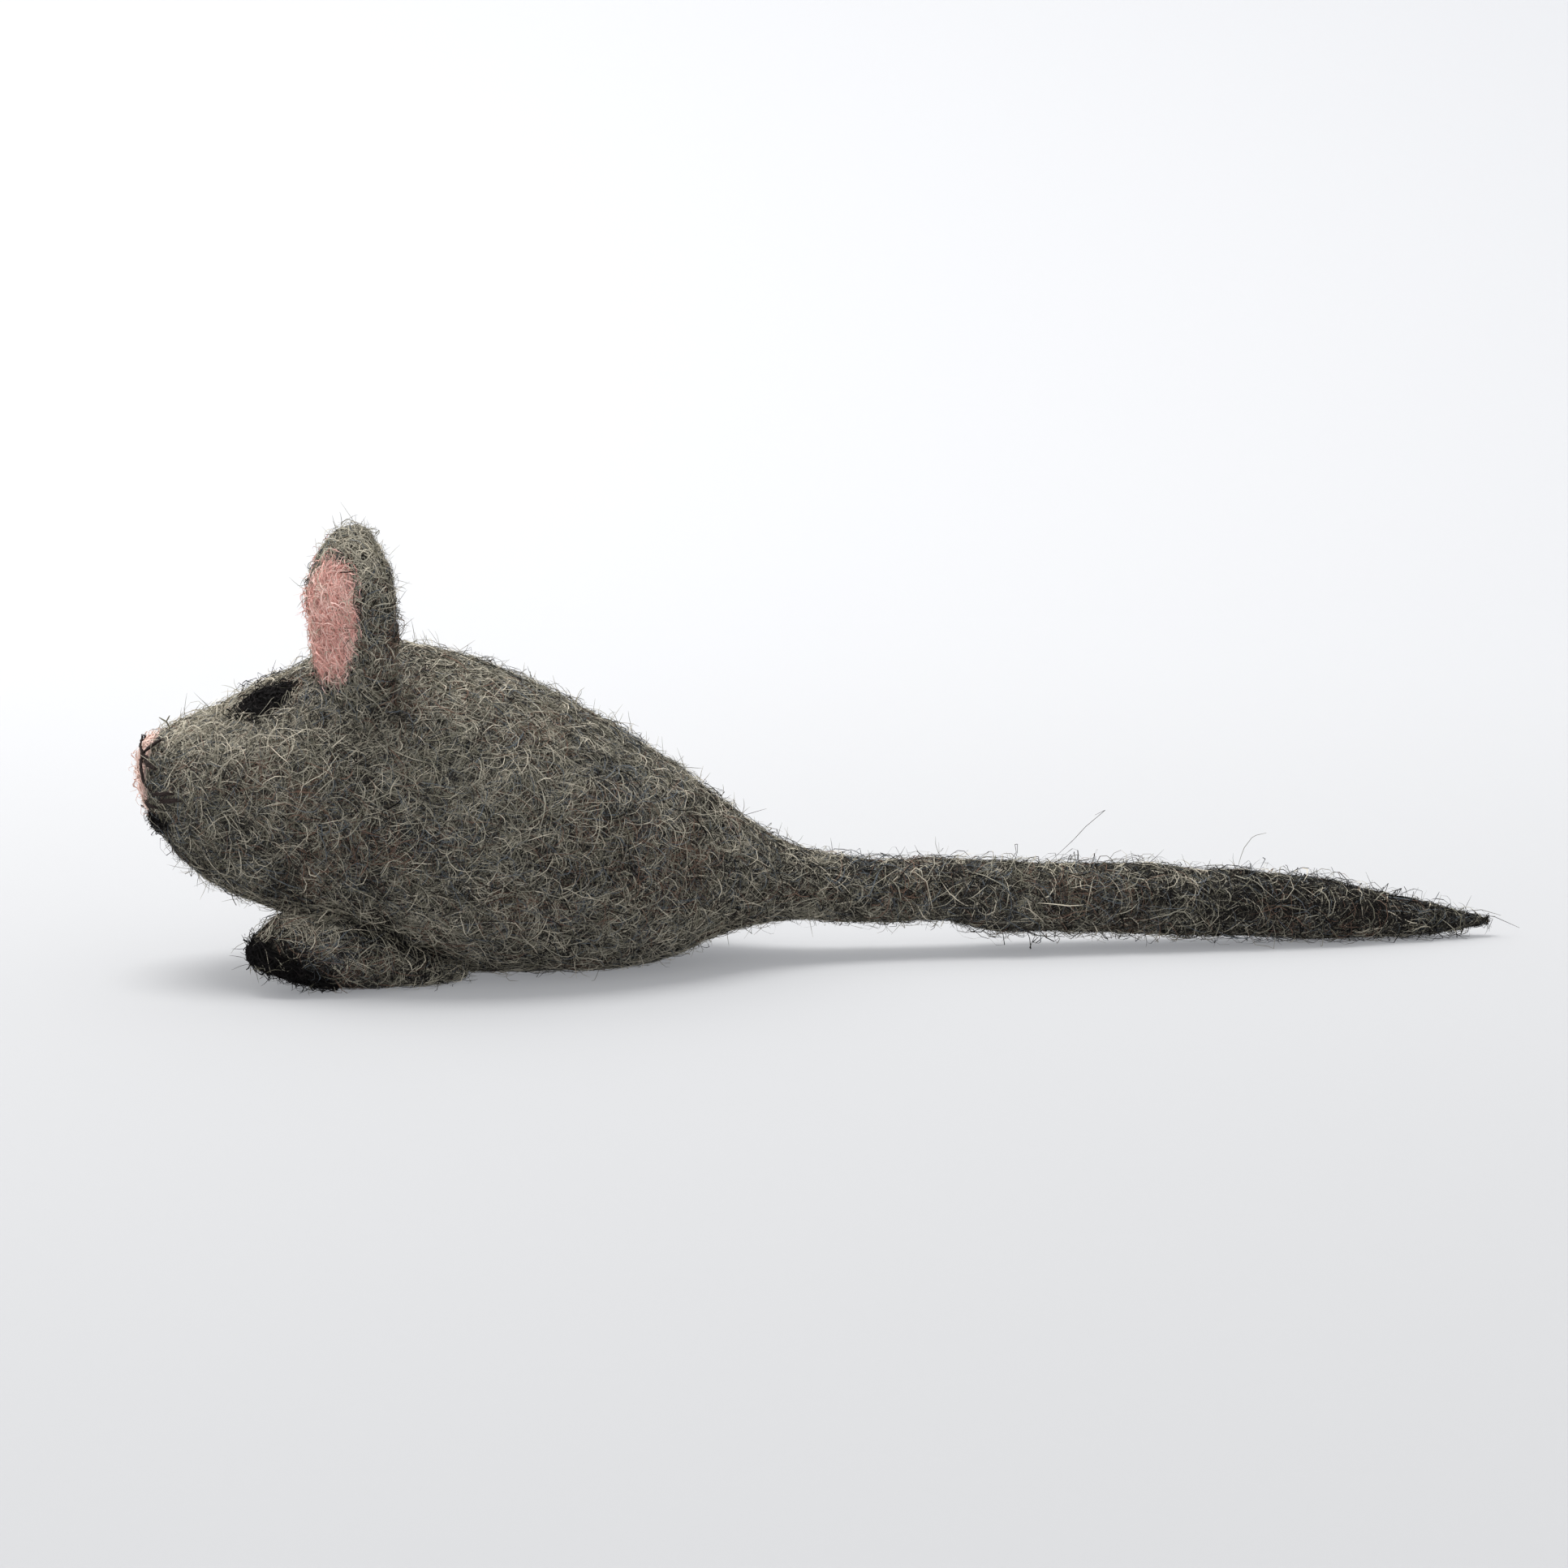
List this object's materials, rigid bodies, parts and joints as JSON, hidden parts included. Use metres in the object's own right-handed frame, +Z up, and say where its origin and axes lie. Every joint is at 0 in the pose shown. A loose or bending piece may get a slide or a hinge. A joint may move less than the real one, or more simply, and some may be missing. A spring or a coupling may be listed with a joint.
{
  "type": "felt toy mouse",
  "caption": "Needle-felted wool mouse lying on its belly, with a rounded body, upright pink-lined ears, black toes and a long sprung tail.",
  "frame": {"origin": "on the surface it rests on, under the middle of its whole length and width", "axes": "+Z up, the tail points to +X, the nose to -X, the left side to -Y"},
  "size_m": [0.1612, 0.037, 0.0514],
  "materials": {
    "grey_wool": "needle-felted wool, hairy, matte",
    "core_wool": "coarse core wool, matte",
    "pink_wool": "needle-felted wool, matte",
    "black_wool": "needle-felted wool, matte",
    "dark_strands": "twisted wool fibres, matte"
  },
  "bodies": {
    "mouse": {"body_coat": "grey_wool", "core_wool": "core_wool", "left_eye": "black_wool", "left_foot": "grey_wool", "left_toe_cap": "black_wool", "left_nose_strands": "dark_strands", "left_upper_whisker": "dark_strands", "left_lower_whisker": "dark_strands", "left_lip_strand": "dark_strands", "right_eye": "black_wool", "right_foot": "grey_wool", "right_toe_cap": "black_wool", "right_nose_strands": "dark_strands", "right_upper_whisker": "dark_strands", "right_lower_whisker": "dark_strands", "right_lip_strand": "dark_strands", "nose_pad": "pink_wool", "mouth_patch": "black_wool"},
    "tail": {"tail": "grey_wool"},
    "left_ear": {"left_ear": "grey_wool", "left_ear_lining": "pink_wool"},
    "right_ear": {"right_ear": "grey_wool", "right_ear_lining": "pink_wool"}
  },
  "joints": [
    {"name": "tail_sway", "type": "hinge", "parent": "mouse", "child": "tail", "pos_m": [-0.008, 0, 0.0097], "axis": [0, 0, 1], "range_deg": [-30, 30], "stiffness_Nm_per_rad": 0.015},
    {"name": "left_ear_fold", "type": "hinge", "parent": "mouse", "child": "left_ear", "pos_m": [-0.0552, -0.009, 0.0342], "axis": [0.5299, -0.7969, -0.2901], "range_deg": [-12, 25], "stiffness_Nm_per_rad": 0.0008},
    {"name": "right_ear_fold", "type": "hinge", "parent": "mouse", "child": "right_ear", "pos_m": [-0.0552, 0.009, 0.0342], "axis": [-0.5299, -0.7969, 0.2901], "range_deg": [-12, 25], "stiffness_Nm_per_rad": 0.0008}
  ]
}
